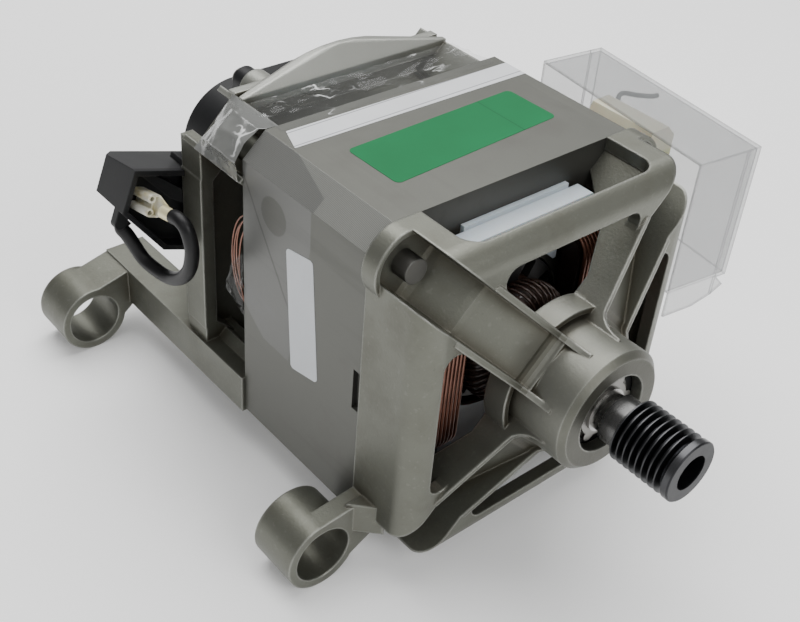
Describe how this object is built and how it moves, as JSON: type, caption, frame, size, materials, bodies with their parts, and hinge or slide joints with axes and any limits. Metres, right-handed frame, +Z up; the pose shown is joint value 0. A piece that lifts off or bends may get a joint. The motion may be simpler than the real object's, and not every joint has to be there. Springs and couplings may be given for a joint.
{
  "type": "washing machine motor",
  "caption": "Brushed universal motor with cast end brackets, a bare lamination stack, a grooved belt pulley, carbon brush gear and mounting ears on one side",
  "frame": {"origin": "on the shaft axis, at the mouth of the bore in the pulley's end face", "axes": "+Y runs along the shaft from the pulley to the rear of the motor, +Z is up, and the mounting ears are on the -X side"},
  "size_m": [0.1859, 0.2367, 0.13],
  "materials": {
    "cast_aluminium": "cast, satin",
    "lamination_steel": "satin, lacquered edges",
    "copper_winding": "lacquered copper wire",
    "white_nylon": "moulded",
    "black_plastic": "moulded, satin",
    "cream_nylon": "moulded",
    "carbon": "pressed carbon",
    "ferrite": "pressed ferrite",
    "black_steel": "blackened, oiled",
    "bright_steel": "ground",
    "zinc_steel": "zinc plated",
    "brass": "tinned brass",
    "clear_sheet": "clear folded plastic sheet",
    "black_rubber": "satin"
  },
  "bodies": {
    "motor_frame": {"stator_core": "lamination_steel", "field_coil_left": "copper_winding", "field_coil_right": "copper_winding", "front_insulator": "white_nylon", "rear_insulator": "white_nylon", "front_bracket": "cast_aluminium", "rear_bracket": "cast_aluminium", "through_bolts": "zinc_steel", "front_bearing_outer": "bright_steel", "front_bearing_seal": "black_rubber", "rear_bearing_outer": "bright_steel", "brush_housing": "black_plastic", "housing_screws": "zinc_steel", "left_brush_holder": "black_plastic", "right_brush_holder": "black_plastic", "left_brush_tube": "brass", "right_brush_tube": "brass", "left_spade_terminal": "brass", "right_spade_terminal": "brass", "left_brush_lead": "black_rubber", "terminal_block": "cream_nylon", "terminal_tabs": "brass", "terminal_cover": "clear_sheet", "tacho_coil": "copper_winding", "tacho_cap": "black_plastic", "left_brush_spring": "bright_steel", "right_brush_spring": "bright_steel"},
    "rotor": {"shaft": "bright_steel", "armature_core": "lamination_steel", "armature_winding": "copper_winding", "armature_end_turns": "copper_winding", "commutator": "copper_winding", "pulley": "black_steel", "front_bearing_inner": "bright_steel", "rear_bearing_inner": "bright_steel", "front_bearing_balls": "bright_steel", "rear_bearing_balls": "bright_steel", "retaining_washer": "zinc_steel", "tacho_magnet": "ferrite"},
    "left_brush_body": {"left_brush": "carbon"},
    "right_brush_body": {"right_brush": "carbon"}
  },
  "joints": [
    {"name": "rotor_spin", "type": "hinge", "parent": "motor_frame", "child": "rotor", "pos_m": [0, 0, 0], "axis": [0, 1, 0], "continuous": true},
    {"name": "left_brush_slide", "type": "slide", "parent": "motor_frame", "child": "left_brush_body", "axis": [-0.9336, 0, 0.3584], "range_m": [0, 0.012], "stiffness_N_per_m": 150, "springref_m": -0.02, "deforming": ["left_brush_spring"]},
    {"name": "right_brush_slide", "type": "slide", "parent": "motor_frame", "child": "right_brush_body", "axis": [0.9336, 0, -0.3584], "range_m": [0, 0.012], "stiffness_N_per_m": 150, "springref_m": -0.02, "deforming": ["right_brush_spring"]}
  ]
}
